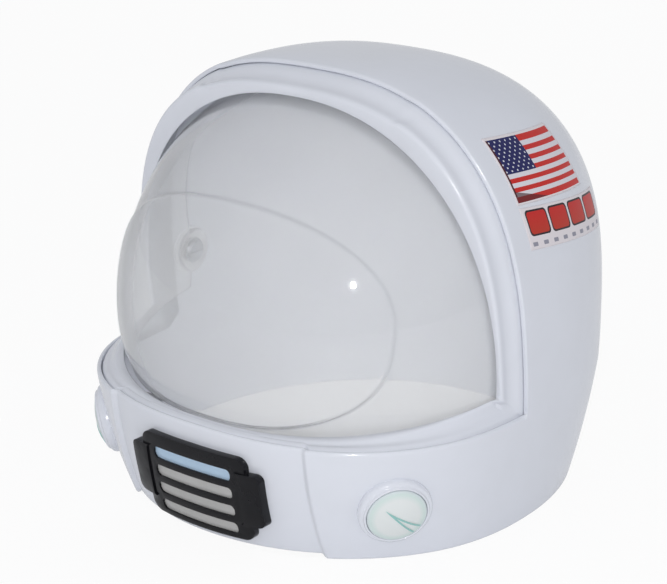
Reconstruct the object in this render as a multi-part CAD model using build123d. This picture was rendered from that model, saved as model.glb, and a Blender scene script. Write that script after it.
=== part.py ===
from build123d import *
import math
import os

# Astronaut dress-up helmet. Millimetres, +Z up, the face looks along -Y, the wearer's left is +X.
# The origin is on the surface it rests on, in the middle of its width.

os.makedirs("parts", exist_ok=True)

# Driving sizes: the hood's outer form
height = 288.3
half_width = 155.0
chin_reach_share = 0.5446
rear_overhang = 9.5
side_tuck = 11.5
chin_tuck = 12.0
rear_tuck = 1.0
widest_height_share = 0.386
rear_height_share = 0.5
rim_height_share = 0.2775
crown_set_forward = 19.0
wall = 3.0
plan_power_share = 2.48
neck_power_share = 2.05
side_power_share = 2.62
rear_power_share = 2.54
overrun = 5.0

# Chin and cheeks
cheek_raise = 3.0
chin_panel_half_width = 78.0
chin_notch = 2.5
cheek_fade_start_share = 0.32
cheek_fade_end_share = 0.52
panel_limit_share = 0.6

# Sizes that follow from the form's driving sizes
widest_height = height * widest_height_share
rear_height = height * rear_height_share
rim_height = height * rim_height_share
chin_reach = height * chin_reach_share
neck_half_width = half_width - side_tuck
neck_front_reach = chin_reach - chin_tuck
rear_reach = chin_reach + rear_overhang
neck_rear_reach = rear_reach - rear_tuck

# Face opening: the crease where the hood is cut, and the lip in front of it
crease_reach = 16.0
crease_lean_share = 0.11
band_depth = 21.0
bezel_gap = 0.1
bezel_wall = 2.2
collar_depth = 10.0
rim_band = 9.5
rim_rise_share = 0.136
lid_overlap = 1.0
lid_sink = 0.1

# Visor: a surface of revolution about the ear axis, inside the chin, the dome and the sides
visor_reach_share = 0.5383
pivot_height_share = 0.4267
visor_chin_gap = 9.8
visor_wall = 1.6
visor_power_share = 2.23
visor_top_angle = 76.0
visor_tuck = 5.0
lip_clearance = 1.8
window_raise = 2.5
window_half_width = 112.0
window_top = 68.3
window_bottom = 68.0
window_angle = 10.0
window_power_share = 2.35
ear_radius = 16.0
ear_thickness = 1.6

# Visor pivots
pivot_pin_radius = 4.0
running_clearance = 0.05
washer_clearance = 0.2
friction_washer_thickness = 1.2
washer_radius = 9.0
pivot_plate_radius = 17.0
pivot_plate_thickness = 1.9
pivot_plate_clearance = 0.1
cap_washer_thickness = 0.8
screw_head_radius = 7.0
screw_head_thickness = 2.6
screw_core_radius = 2.0
screw_cover = 0.5
screw_slot_width = 1.2
screw_slot_depth = 1.0

# Place of the ear axis, and the stack on it from the hood's wall inwards to the screw's head
visor_reach = height * visor_reach_share
pivot_height = height * pivot_height_share
pivot_back = visor_reach + visor_chin_gap - chin_reach
plate_start = half_width - wall - pivot_plate_clearance - pivot_plate_thickness
washer_start = plate_start - friction_washer_thickness
visor_half_width = washer_start - washer_clearance
cap_end = visor_half_width - ear_thickness - washer_clearance
cap_start = cap_end - cap_washer_thickness
screw_end = half_width - wall - pivot_plate_clearance - screw_cover

# Rest pads under the closed visor
rest_pad_length = 24.0
rest_pad_side = 62.0
rest_pad_clearance = 0.3
rest_pad_thickness = 6.0
rest_pad_reach = 16.0

# Chin grille
grille_half_width = 42.0
grille_bottom = 9.0
grille_top = 67.5
grille_proud = 5.0
grille_corner = 7.0
slot_count = 4
slot_half_length = 31.5
slot_height = 8.0
slot_pitch = 12.7
slot_lowest = 16.5
slot_round_share = 0.4
grille_ear_reach = 52.0
grille_ear_bottom = 21.0
grille_ear_top = 58.0
grille_ear_proud = 6.2
grille_ear_corner = 4.5
mesh_thickness = 1.2
mesh_seat = 2.2
mesh_margin = 3.0
mesh_clearance = 0.1
grille_seat = 0.1
peg_radius = 2.0
peg_clearance = 0.1
peg_side = 48.5
peg_inset = 9.0
peg_length = 9.0
nut_radius = 5.0
nut_thickness = 0.8
nut_clearance = 0.15

# Cheek dials
dial_angle = 48.0
dial_height = 38.5
probe_share = 0.01
dial_ring_radius = 23.0
dial_ring_height = 3.4
dial_ring_chamfer = 0.9
dial_step_radius = 20.5
dial_step_height = 5.6
dial_seat_radius = 19.2
dial_seat_height = 3.0
dial_radius = 18.6
dial_rim_height = 5.8
dial_crown = 4.2
shoulder_share = 0.6
shoulder_height_share = 0.72
dial_face_clearance = 0.3
hub_radius = 6.5
hub_clearance = 0.1
hub_length = 6.0
stem_radius = 3.5
stem_end = 1.6
mark_width = 7.0
mark_length = 28.0
mark_tip = 11.0
mark_line = 0.9
mark_solid_share = 0.3
mark_height = 0.3
mark_turn = -40.0
spring_washer_radius = 6.0
spring_washer_thickness = 0.7
clip_radius = 5.5
clip_thickness = 1.0
clip_groove = 0.8
clip_clearance = 0.1

# Labels on the wearer's left side
label_thickness = 0.4
flag_back = 25.2
flag_height_share = 0.7965
flag_top_length = 76.0
flag_bottom_length = 84.7
flag_drop = 38.6
flag_lean = 8.3
flag_slope = 4.1
bars_back = 42.0
bars_height_share = 0.6677
bars_top_length = 106.0
bars_bottom_length = 106.0
bars_drop = 25.5
bars_lean = 3.3
bars_slope = 6.3
flag_height = height * flag_height_share
bars_height = height * bars_height_share

# Heights of the plan sections, as shares of the height up to where the dome closes
section_shares = (
    0.0, 0.07, 0.15, 0.24, 0.33, 0.42, 0.52, 0.62,
    0.71, 0.79, 0.86, 0.915, 0.955, 0.98, 0.993, 0.9985,
)
side_points = 22
front_points = 7


def superellipse(share, power):
    """Other semi-axis share of a superellipse at this share of the first."""
    return max(0.0, 1.0 - abs(share) ** power) ** (1.0 / power)


def plan_sizes(z, inset):
    """Half width, front reach, rear reach and centre of the plan at height z, moved inwards by inset."""
    top = height - inset
    if z < widest_height:
        half = half_width - (half_width - neck_half_width) * (1.0 - z / widest_height) ** 2
    else:
        half = half_width * superellipse((z - widest_height) / (top - widest_height), side_power_share)
    if z < rim_height:
        front = -chin_reach + (chin_reach - neck_front_reach) * (1.0 - z / rim_height) ** 2
    else:
        rise = (z - rim_height) / (top - rim_height)
        front = -crown_set_forward - (chin_reach - crown_set_forward) * superellipse(rise, 2.0)
    if z < rear_height:
        rear = rear_reach - (rear_reach - neck_rear_reach) * (1.0 - z / rear_height) ** 2
    else:
        rise = (z - rear_height) / (top - rear_height)
        rear = -crown_set_forward + (rear_reach + crown_set_forward) * superellipse(rise, rear_power_share)
    centre = -crown_set_forward * max(0.0, (z - rim_height) / (height - rim_height)) ** 1.5
    shrink = inset
    if z > widest_height:
        shrink = inset * superellipse((z - widest_height) / (top - widest_height), 2.0)
    return half - shrink, front + shrink, rear - shrink, centre


def plan_power(z):
    """Power of the plan's superellipse at height z: rounder corners towards the neck."""
    return plan_power_share - (plan_power_share - neck_power_share) * max(0.0, 1.0 - z / rim_height)


def plan_point(z, turn, inset, raised=0.0):
    """Point of the plan at height z, turn running from 0 at the front to 1 at the rear, on the +X side."""
    half, front, rear, centre = plan_sizes(z, inset)
    power = 2.0 / plan_power(z)
    angle = math.pi * turn
    side = math.sin(angle) ** power if 0.0 < turn < 1.0 else 0.0
    along = abs(math.cos(angle)) ** power
    reach = (front - centre) if turn < 0.5 else (rear - centre)
    x = half * side
    y = centre + reach * along
    if raised:
        fade = (turn - cheek_fade_start_share) / (cheek_fade_end_share - cheek_fade_start_share)
        fade = 0.5 + 0.5 * math.cos(math.pi * min(1.0, max(0.0, fade)))
        length = math.hypot(x, y)
        x += raised * fade * x / length
        y += raised * fade * y / length
    return (x, y, z)


def smooth_edge(points):
    """Spline through the points, with the same parameters on every section."""
    last = len(points) - 1
    turns = [i / last for i in range(last + 1)]
    return Edge.make_spline([Vector(*p) for p in points], parameters=turns)


def mirrored(points):
    """The points of the -X side, in reverse order."""
    return [(-x, y, z) for x, y, z in reversed(points)]


def plain_section(z, inset):
    """Closed plan section without the raised cheeks: two halves that meet at front and rear."""
    count = side_points + front_points
    right = [plan_point(z, i / count, inset) for i in range(count + 1)]
    return Wire([smooth_edge(right), smooth_edge(mirrored(right))])


def cheek_section(z, inset):
    """Closed plan section with the chin panel in the middle and a raised cheek beside it."""
    half, front, rear, centre = plan_sizes(z, inset)
    panel_half = min(chin_panel_half_width - inset, half * panel_limit_share)
    start = math.asin((panel_half / half) ** (plan_power(z) / 2.0)) / math.pi
    panel = [plan_point(z, start * i / front_points, inset) for i in range(front_points + 1)]
    turns = [start + (1.0 - start) * i / side_points for i in range(side_points + 1)]
    raised = [plan_point(z, turn, inset, cheek_raise) for turn in turns]
    middle = mirrored(panel)[:-1] + panel
    left = mirrored(raised)
    return Wire(
        [
            smooth_edge(middle),
            Edge.make_line(Vector(*middle[-1]), Vector(*raised[0])),
            smooth_edge(raised),
            smooth_edge(left),
            Edge.make_line(Vector(*left[-1]), Vector(*middle[0])),
        ]
    )


def form(inset=0.0, bottom=0.0, cheeks=False):
    """Closed solid of the hood's form, moved inwards by inset and reaching down to bottom."""
    section = cheek_section if cheeks else plain_section
    top = height - inset
    heights = [top * share for share in section_shares]
    if bottom < 0.0:
        heights = [bottom] + heights[1:]
    return Solid.make_loft([section(z, inset) for z in heights])


def side_prism(points):
    """Prism across the whole width with this outline of (y, z) places."""
    face = Face(Wire.make_polygon([Vector(-2.0 * half_width, y, z) for y, z in points]))
    return Solid.extrude(face, Vector(4.0 * half_width, 0, 0))


def chin_prism(half, bottom, top, corner):
    """Prism through the chin, along Y, of a rounded rectangle drawn in X and Z."""
    middle = (0, -2.0 * chin_reach, (bottom + top) / 2.0)
    plane = Plane(origin=middle, x_dir=(1, 0, 0), z_dir=(0, -1, 0))
    outline = (plane * RectangleRounded(2.0 * half, top - bottom, corner)).face()
    return Solid.extrude(outline, Vector(0, 2.0 * chin_reach, 0))


def front_surface(x, z, inset):
    """The y of the front of the form at this place, moved inwards by inset."""
    half, front, rear, centre = plan_sizes(z, inset)
    return centre + (front - centre) * superellipse(x / half, plan_power(z))


def crease_line(z):
    """The y where the hood is cut for the face opening."""
    return -crease_reach - crease_lean_share * (z - rim_height)


def rim_plane(y):
    """Height of the bezel's inner rim over the chin, rising rearwards."""
    return rim_height + rim_rise_share * (y + chin_reach - wall)


def visor_body(grow, widen):
    """Solid of revolution of the visor's surface about the ear axis, grown in reach and half width."""
    reach = visor_reach + grow
    half = visor_half_width + widen
    power = 2.0 / visor_power_share
    turns = [math.pi / 2.0 * i / side_points for i in range(side_points)]
    right = [(half * math.cos(t) ** power, reach * math.sin(t) ** power) for t in turns]
    points = right + [(0.0, reach)] + [(-x, r) for x, r in reversed(right)]
    edge = Edge.make_spline([Vector(x, r, 0) for x, r in points])
    axis = Edge.make_line(Vector(-half, 0, 0), Vector(half, 0, 0))
    body = Solid.revolve(Face(Wire([edge, axis])), 360.0, Axis.X)
    return body.moved(Location((0, pivot_back, pivot_height)))


def ear_cylinder(radius, x_inner, x_outer, side):
    """Cylinder about the ear axis between two distances from the middle, on one side."""
    plane = Plane(origin=(x_inner, pivot_back, pivot_height), z_dir=(1, 0, 0))
    cylinder = Solid.make_cylinder(radius, x_outer - x_inner, plane)
    return cylinder if side > 0 else cylinder.mirror(Plane.YZ)


def make_hood(dials):
    """Thin shell with the face opening, the neck opening and the holes for dials and grille."""
    opening = side_prism(
        [
            (crease_line(rim_height), rim_height),
            (crease_line(height + overrun), height + overrun),
            (-2.0 * chin_reach, height + overrun),
            (-2.0 * chin_reach, rim_height),
        ]
    )
    notch = Solid.make_box(2.0 * chin_panel_half_width, neck_front_reach, chin_notch + overrun)
    notch = notch.moved(Location((-chin_panel_half_width, -1.5 * neck_front_reach, -overrun)))
    shell = outer_form - form(wall, -overrun, True) - opening - notch
    for plane in dials:
        below = plane.offset(-2.0 * hub_length)
        shell = shell - Solid.make_cylinder(hub_radius + hub_clearance, 4.0 * hub_length, below)
    for x, z in peg_places():
        shell = shell - peg(x, z, peg_radius + peg_clearance)
    return shell


def make_bezel():
    """Band set inside the hood's edge, the lip in front of it and the rim over the chin."""
    inset = wall + bezel_gap
    band = form(inset)
    band_inner = form(inset + bezel_wall)
    top = height + overrun
    skirt_bottom = rim_height - collar_depth

    def arch_prism(set_back):
        front = -band_depth + set_back
        return side_prism(
            [
                (crease_line(rim_height) + front, rim_height),
                (crease_line(top) + front, top),
                (crease_line(top) + 3.0 * collar_depth, top),
                (crease_line(rim_height) + 3.0 * collar_depth, rim_height),
            ]
        )

    def lid(body, extra, drop):
        count = side_points + front_points
        low = [plan_point(rim_height, i / count, inset + extra - lid_overlap) for i in range(count + 1)]
        low = [(x, y, z - drop - lid_sink) for x, y, z in low]
        high = [plan_point(rim_height, i / count, inset + extra + rim_band) for i in range(count + 1)]
        high = [(x, y, rim_plane(y) - drop) for x, y, z in high]
        wires = [Wire([smooth_edge(points), smooth_edge(mirrored(points))]) for points in (low, high)]
        return Solid.make_loft(wires, True) & body

    def slab(bottom, upper):
        box = Solid.make_box(4.0 * half_width, 4.0 * half_width, upper - bottom)
        return box.moved(Location((-2.0 * half_width, -2.0 * half_width, bottom)))

    skirt = band & slab(skirt_bottom, rim_height)
    skirt_inner = band_inner & slab(skirt_bottom - overrun, rim_height - bezel_wall)
    filled = (band & arch_prism(0.0)) + lid(band, 0.0, 0.0) + skirt
    kept = side_prism(
        [
            (-2.0 * chin_reach, skirt_bottom),
            (crease_line(skirt_bottom) + collar_depth, skirt_bottom),
            (crease_line(top) + collar_depth, top),
            (-2.0 * chin_reach, top),
        ]
    )
    hollow = band_inner & arch_prism(bezel_wall)
    swept = visor_body(window_raise + lip_clearance, lip_clearance)
    return (filled & kept) - hollow - lid(band_inner, bezel_wall, bezel_wall) - skirt_inner - swept


def visor_outline():
    """Prism of the visor seen from the side: a fan between its top edge and its level bottom edge."""
    top = math.radians(visor_top_angle)
    reach = 2.0 * visor_reach
    back = pivot_back + ear_radius * math.sin(top)
    back_height = pivot_height + ear_radius * math.cos(top)
    return side_prism(
        [
            (-chin_reach, rim_plane(-chin_reach) - visor_tuck),
            (back, rim_plane(back) - visor_tuck),
            (back, back_height),
            (back - reach * math.cos(top), back_height + reach * math.sin(top)),
            (-chin_reach, back_height + reach * math.sin(top)),
        ]
    )


def window_prism(shrink):
    """Prism of the raised window's arched outline, along the middle of its angles."""
    tilt = math.radians(window_angle)
    ahead = Vector(0, -math.cos(tilt), math.sin(tilt))
    plane = Plane(origin=(0, pivot_back, pivot_height), x_dir=(1, 0, 0), z_dir=ahead)
    count = 2 * side_points
    points = []
    for i in range(count):
        angle = 2.0 * math.pi * i / count
        rise = window_top if math.sin(angle) > 0.0 else window_bottom
        across = abs(math.cos(angle)) ** (2.0 / window_power_share)
        up = abs(math.sin(angle)) ** (2.0 / window_power_share)
        x = math.copysign((window_half_width - shrink) * across, math.cos(angle))
        y = math.copysign((rise - shrink) * up, math.sin(angle))
        points.append(plane.from_local_coords(Vector(x, y, 0)))
    face = Face(Wire([Edge.make_spline(points, periodic=True)]))
    return Solid.extrude(face, ahead * (2.0 * visor_reach))


def make_visor():
    """Clear bubble with the raised window and the two ears."""
    outside = visor_body(0.0, 0.0) + (visor_body(window_raise, window_raise) & window_prism(0.0))
    raised = window_raise - visor_wall
    inside = visor_body(-visor_wall, -visor_wall) + (visor_body(raised, raised) & window_prism(visor_wall))
    bubble = (outside - inside) & visor_outline()
    inner = visor_half_width - ear_thickness
    hole = pivot_pin_radius + running_clearance
    for side in (1, -1):
        bubble = bubble + ear_cylinder(ear_radius, inner, visor_half_width, side)
        bubble = bubble - ear_cylinder(hole, inner - overrun, visor_half_width + overrun, side)
    return bubble


def make_pivot_plate(side):
    """Round plate on the hood's inner wall, with the screw's hole."""
    plate = ear_cylinder(pivot_plate_radius, plate_start, half_width, side)
    plate = plate & form(wall + pivot_plate_clearance)
    return plate - ear_cylinder(screw_core_radius, plate_start, half_width, side)


def make_pivot_screw(side):
    """Shoulder screw with a slotted head towards the middle of the hood."""
    head_start = cap_start - screw_head_thickness
    screw = ear_cylinder(screw_head_radius, head_start, cap_start, side)
    screw = screw + ear_cylinder(pivot_pin_radius, cap_start, plate_start, side)
    screw = screw + ear_cylinder(screw_core_radius, plate_start, screw_end, side)
    slot = Solid.make_box(screw_slot_depth, 2.0 * screw_head_radius, screw_slot_width)
    corner = (head_start, pivot_back - screw_head_radius, pivot_height - screw_slot_width / 2.0)
    slot = slot.moved(Location(corner))
    return screw - (slot if side > 0 else slot.mirror(Plane.YZ))


def make_washer(side, start, thickness):
    """Flat washer on the visor's pivot."""
    disc = ear_cylinder(washer_radius, start, start + thickness, side)
    return disc - ear_cylinder(pivot_pin_radius + running_clearance, start, start + thickness, side)


def make_rest_pad(side):
    """Soft block on the chin's inner wall, under the visor's bottom edge."""
    front = front_surface(rest_pad_side, rim_height - visor_tuck, wall)
    back = front + rest_pad_reach
    drop = visor_tuck + rest_pad_clearance
    start = front - overrun
    base = drop + rest_pad_thickness
    corners = [
        Vector(0, start, rim_plane(start) - drop),
        Vector(0, back, rim_plane(back) - drop),
        Vector(0, back, rim_plane(back) - base),
        Vector(0, start, rim_plane(start) - base),
    ]
    block = Solid.extrude(Face(Wire.make_polygon(corners)), Vector(rest_pad_length, 0, 0))
    block = block.moved(Location((rest_pad_side - rest_pad_length / 2.0, 0, 0)))
    block = block if side > 0 else block.mirror(Plane.YZ)
    return block & form(wall + bezel_gap + bezel_wall + bezel_gap)


def peg_places():
    """Places of the grille's four pegs."""
    heights = (grille_ear_bottom + peg_inset, grille_ear_top - peg_inset)
    return [(side * peg_side, z) for side in (1, -1) for z in heights]


def peg(x, z, radius):
    """Peg from inside the grille's ear through the chin's wall."""
    start = front_surface(x, z, -grille_proud / 2.0)
    return Solid.make_cylinder(radius, peg_length, Plane(origin=(x, start, z), z_dir=(0, 1, 0)))


def mesh_prism(margin):
    """Prism of the grille's outline drawn in by margin."""
    half = grille_half_width - margin
    return chin_prism(half, grille_bottom + margin, grille_top - margin, grille_corner - mesh_margin)


def make_grille():
    """Curved plate with round-ended slots, two ears and four pegs."""
    seat = form(-grille_seat)
    plate = chin_prism(grille_half_width, grille_bottom, grille_top, grille_corner)
    plate = (plate & form(-grille_proud)) - seat
    corner = grille_ear_corner
    ears = chin_prism(grille_ear_reach, grille_ear_bottom, grille_ear_top, corner)
    middle = chin_prism(grille_half_width - corner, grille_ear_bottom, grille_ear_top, corner / 2.0)
    ears = ((ears - middle) & form(-grille_ear_proud)) - seat
    pocket = mesh_prism(mesh_margin - mesh_clearance)
    pocket = pocket & form(-(mesh_seat + mesh_thickness + mesh_clearance))
    grille = plate + ears - pocket
    for i in range(slot_count):
        z = slot_lowest + i * slot_pitch
        low = z - slot_height / 2.0
        round_end = slot_height * slot_round_share
        grille = grille - chin_prism(slot_half_length, low, low + slot_height, round_end)
    for x, z in peg_places():
        grille = grille + peg(x, z, peg_radius)
    return grille


def make_mesh():
    """Thin sheet in the pocket behind the slots."""
    return (mesh_prism(mesh_margin) & form(-(mesh_seat + mesh_thickness))) - form(-mesh_seat)


def make_nuts():
    """Push-on nuts on the pegs, against the chin's inner wall."""
    nuts = []
    for x, z in peg_places():
        edges = (z - nut_radius, z + nut_radius)
        start = max(front_surface(abs(x) + nut_radius, edge, wall) for edge in edges) + nut_clearance
        plane = Plane(origin=(x, start, z), z_dir=(0, 1, 0))
        nut = Solid.make_cylinder(nut_radius, nut_thickness, plane)
        nuts.append(nut - Solid.make_cylinder(peg_radius, nut_thickness, plane))
    return nuts


def dial_plane(side):
    """Plane on the raised cheek with its z out of the surface, at the dial's middle."""
    half, front, rear, centre = plan_sizes(dial_height, 0.0)
    slope = math.tan(math.radians(dial_angle)) * abs(front) / half
    turn = math.atan(slope ** (plan_power(dial_height) / 2.0)) / math.pi
    place = Vector(*plan_point(dial_height, turn, 0.0, cheek_raise))
    along = Vector(*plan_point(dial_height, turn + probe_share, 0.0, cheek_raise)) - place
    up = Vector(*plan_point(dial_height * (1.0 + probe_share), turn, 0.0, cheek_raise)) - place
    out = along.cross(up).normalized()
    level = Vector(0, 0, 1).cross(out).normalized()
    if side < 0:
        place, out, level = (Vector(-p.X, p.Y, p.Z) for p in (place, out, level))
        level = level * -1.0
    return Plane(origin=place, x_dir=level, z_dir=out)


def turned(points, plane):
    """Solid turned about the plane's z from a closed outline of (radius, height) points."""
    face = Face(Wire.make_polygon([Vector(r, 0, z) for r, z in points]))
    return Solid.revolve(face, 360.0, Axis.Z).moved(plane.location)


def make_dial_ring(plane):
    """Stepped ring seated on the cheek, with the hub that goes through the wall."""
    ring = turned(
        [
            (0.0, -dial_ring_height),
            (dial_ring_radius, -dial_ring_height),
            (dial_ring_radius, dial_ring_height - dial_ring_chamfer),
            (dial_ring_radius - dial_ring_chamfer, dial_ring_height),
            (dial_step_radius, dial_ring_height),
            (dial_step_radius, dial_step_height),
            (dial_seat_radius, dial_step_height),
            (dial_seat_radius, dial_seat_height),
            (0.0, dial_seat_height),
        ],
        plane,
    )
    hub = Solid.make_cylinder(hub_radius, hub_length + dial_seat_height, plane.offset(-hub_length))
    bore_plane = plane.offset(-2.0 * hub_length)
    bore = Solid.make_cylinder(stem_radius + running_clearance, 4.0 * hub_length, bore_plane)
    return (ring - outer_form) + hub - bore


def dome(plane, lift, base):
    """Domed disc of the dial from base up to its crown, raised by lift."""
    rim = dial_rim_height + lift
    shoulder = Vector(dial_radius * shoulder_share, 0, rim + dial_crown * shoulder_height_share)
    arc = Edge.make_three_point_arc(Vector(0, 0, rim + dial_crown), shoulder, Vector(dial_radius, 0, rim))
    corners = [arc @ 1, Vector(dial_radius, 0, base), Vector(0, 0, base), arc @ 0]
    sides = Wire.make_polygon(corners, close=False)
    face = Face(Wire([arc] + list(sides.edges())))
    return Solid.revolve(face, 360.0, Axis.Z).moved(plane.location)


clip_top = hub_length + spring_washer_thickness + clip_clearance


def make_dial(plane):
    """Domed dial with its stem and the clip's groove."""
    cap = dome(plane, 0.0, dial_seat_height + dial_face_clearance)
    tail = clip_top + clip_thickness + stem_end
    stem = Solid.make_cylinder(stem_radius, tail + dial_rim_height, plane.offset(-tail))
    groove = make_ring_on_stem(plane, clip_top, clip_thickness, stem_radius, stem_radius - clip_groove)
    return cap + stem - groove


def make_dial_mark(plane):
    """Thin wedge-shaped outline on the dial's face."""
    tip = -mark_tip
    end = mark_length - mark_tip
    spread = mark_width / 2.0

    def triangle(start, stop, half):
        corners = [Vector(start, 0, 0), Vector(stop, half, 0), Vector(stop, -half, 0)]
        return Solid.extrude(Face(Wire.make_polygon(corners)), Vector(0, 0, 2.0 * dial_rim_height))

    hollow = triangle(tip + mark_length * mark_solid_share, end + mark_line, spread - mark_line)
    wedge = triangle(tip, end, spread) - hollow
    wedge = wedge.rotate(Axis.Z, mark_turn).moved(plane.location)
    return (wedge & dome(plane, mark_height, dial_rim_height)) - dome(plane, 0.0, dial_seat_height)


def make_ring_on_stem(plane, top, thickness, outer_radius, inner_radius):
    """Flat ring about the dial's stem, its upper face at top below the cheek."""
    at = plane.offset(-top - thickness)
    disc = Solid.make_cylinder(outer_radius, thickness, at)
    return disc - Solid.make_cylinder(inner_radius, thickness, at)


def make_label(back, middle, top_length, bottom_length, drop, lean, slope):
    """Thin skin on the hood's left side, cut to a leaning four-sided outline."""
    shift = math.tan(math.radians(slope))

    def corner(y, z):
        return Vector(0, back + y, middle + z - y * shift)

    corners = [
        corner((-lean - top_length) / 2.0, drop / 2.0),
        corner((-lean + top_length) / 2.0, drop / 2.0),
        corner((lean + bottom_length) / 2.0, -drop / 2.0),
        corner((lean - bottom_length) / 2.0, -drop / 2.0),
    ]
    prism = Solid.extrude(Face(Wire.make_polygon(corners)), Vector(2.0 * half_width, 0, 0))
    return (prism & label_skin) - outer_form


outer_form = form(0.0, 0.0, True)
label_skin = form(-label_thickness, 0.0, True)
planes = {"left": dial_plane(1), "right": dial_plane(-1)}

parts = {
    "hood_shell": make_hood(planes.values()),
    "face_bezel": make_bezel(),
    "visor": make_visor(),
    "pivot_screws": Compound([make_pivot_screw(1), make_pivot_screw(-1)]),
    "friction_washers": Compound([make_washer(1, washer_start, friction_washer_thickness),
                                  make_washer(-1, washer_start, friction_washer_thickness)]),
    "cap_washers": Compound([make_washer(1, cap_start, cap_washer_thickness),
                             make_washer(-1, cap_start, cap_washer_thickness)]),
    "left_pivot_plate": make_pivot_plate(1),
    "right_pivot_plate": make_pivot_plate(-1),
    "visor_rest_pads": Compound([make_rest_pad(1), make_rest_pad(-1)]),
    "chin_grille": make_grille(),
    "grille_mesh": make_mesh(),
    "grille_nuts": Compound(make_nuts()),
    "flag_label": make_label(
        flag_back, flag_height, flag_top_length, flag_bottom_length, flag_drop, flag_lean, flag_slope
    ),
    "side_label": make_label(
        bars_back, bars_height, bars_top_length, bars_bottom_length, bars_drop, bars_lean, bars_slope
    ),
}
for side, plane in planes.items():
    parts[side + "_dial_ring"] = make_dial_ring(plane)
    parts[side + "_dial"] = make_dial(plane)
    parts[side + "_dial_mark"] = make_dial_mark(plane)
    parts[side + "_dial_washer"] = make_ring_on_stem(
        plane, hub_length, spring_washer_thickness, spring_washer_radius, stem_radius + running_clearance
    )
    parts[side + "_dial_clip"] = make_ring_on_stem(
        plane, clip_top, clip_thickness, clip_radius, stem_radius - clip_groove
    )

for name, shape in parts.items():
    export_step(shape, f"parts/{name}.step")
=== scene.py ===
"""Dress-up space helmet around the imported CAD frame. Metres, +Z up, the face looks along -Y."""

import math

import bmesh
import bpy
import numpy as np
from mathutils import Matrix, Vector


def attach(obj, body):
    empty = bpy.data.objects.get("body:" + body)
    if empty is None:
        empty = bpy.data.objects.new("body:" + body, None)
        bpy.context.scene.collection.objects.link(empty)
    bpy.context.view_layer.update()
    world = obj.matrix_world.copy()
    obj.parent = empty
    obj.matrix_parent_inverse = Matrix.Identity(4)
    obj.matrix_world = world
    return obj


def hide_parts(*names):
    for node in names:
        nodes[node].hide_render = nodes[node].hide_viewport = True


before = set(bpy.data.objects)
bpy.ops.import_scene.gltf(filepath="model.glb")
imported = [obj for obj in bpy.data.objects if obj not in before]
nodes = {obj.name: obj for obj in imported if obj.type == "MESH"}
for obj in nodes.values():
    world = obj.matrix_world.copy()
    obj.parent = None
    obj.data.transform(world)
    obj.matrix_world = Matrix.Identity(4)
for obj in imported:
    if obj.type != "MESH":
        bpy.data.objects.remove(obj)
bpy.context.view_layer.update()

MM = 0.001

# Sizes in millimetres, the same as the CAD model's: first the hood's level sections, and how they
# change with the height
HEIGHT = 288.3
HALF_WIDTH = 155.0
WIDEST_HEIGHT = 0.386 * HEIGHT
NECK_HALF_WIDTH = 143.5
CHIN_REACH = 0.5446 * HEIGHT
NECK_FRONT_REACH = CHIN_REACH - 12.0
REAR_REACH = CHIN_REACH + 9.5
REAR_HEIGHT = 0.5 * HEIGHT
NECK_REAR_REACH = REAR_REACH - 1.0
CROWN_SET_FORWARD = 19.0
RIM_HEIGHT = 0.2775 * HEIGHT
WALL = 3.0
PLAN_POWER = 2.48
NECK_POWER = 2.05
SIDE_POWER = 2.62
REAR_POWER = 2.54

# Cheeks beside the chin panel, the face opening's edge, and the band and rim inside it
CHEEK_RAISE = 3.0
PANEL_HALF = 78.0
PANEL_STEP = 3.2
CHIN_NOTCH = 2.5
CHEEK_FADE = (0.32, 0.52)
CREASE_REACH = 16.0
CREASE_LEAN = 0.11
BAND_DEPTH = 21.0
RIM_RISE = 0.136

# The visor turns about PIVOT; its window is raised
VISOR_REACH = 0.5383 * HEIGHT
PIVOT = np.array([0.0, VISOR_REACH + 9.8 - CHIN_REACH, 0.4267 * HEIGHT])
VISOR_HALF = 148.6
VISOR_WALL = 1.6
VISOR_POWER = 2.23
VISOR_TOP_ANGLE = math.radians(76.0)
VISOR_TUCK = 5.0
WINDOW_RAISE = 2.5
WINDOW_HALF = 112.0
WINDOW_TOP = 68.3
WINDOW_BOTTOM = 68.0
WINDOW_TILT = math.radians(10.0)
WINDOW_POWER = 2.35
LIP_CLEARANCE = 1.8

# Prints, the sheet behind the slots, and the left dial
FILM = 0.4
MESH_PROUD = 3.4
DIAL_PLACE = np.array([119.4414, -107.5455, 38.5])
DIAL_AXIS = np.array([0.754693, -0.605302, -0.253077])
DIAL_LEVEL = np.array([0.62567, 0.780088, 0.0])
DIAL_RADIUS = 18.85


# ---------------------------------------------------------------- the hood's form


def superellipse(share, power):
    """Other semi-axis share of a superellipse at this share of the first."""
    return np.maximum(0.0, 1.0 - np.abs(share) ** power) ** (1.0 / power)


def below(z, height):
    """How far z lies below this height, as a share of it, and 0 above it."""
    return np.clip(1.0 - z / height, 0.0, None)


def above(z, height, top):
    """Share of the way from this height to the top at which z lies."""
    return np.clip((z - height) / (top - height), 0.0, 1.0)


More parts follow.
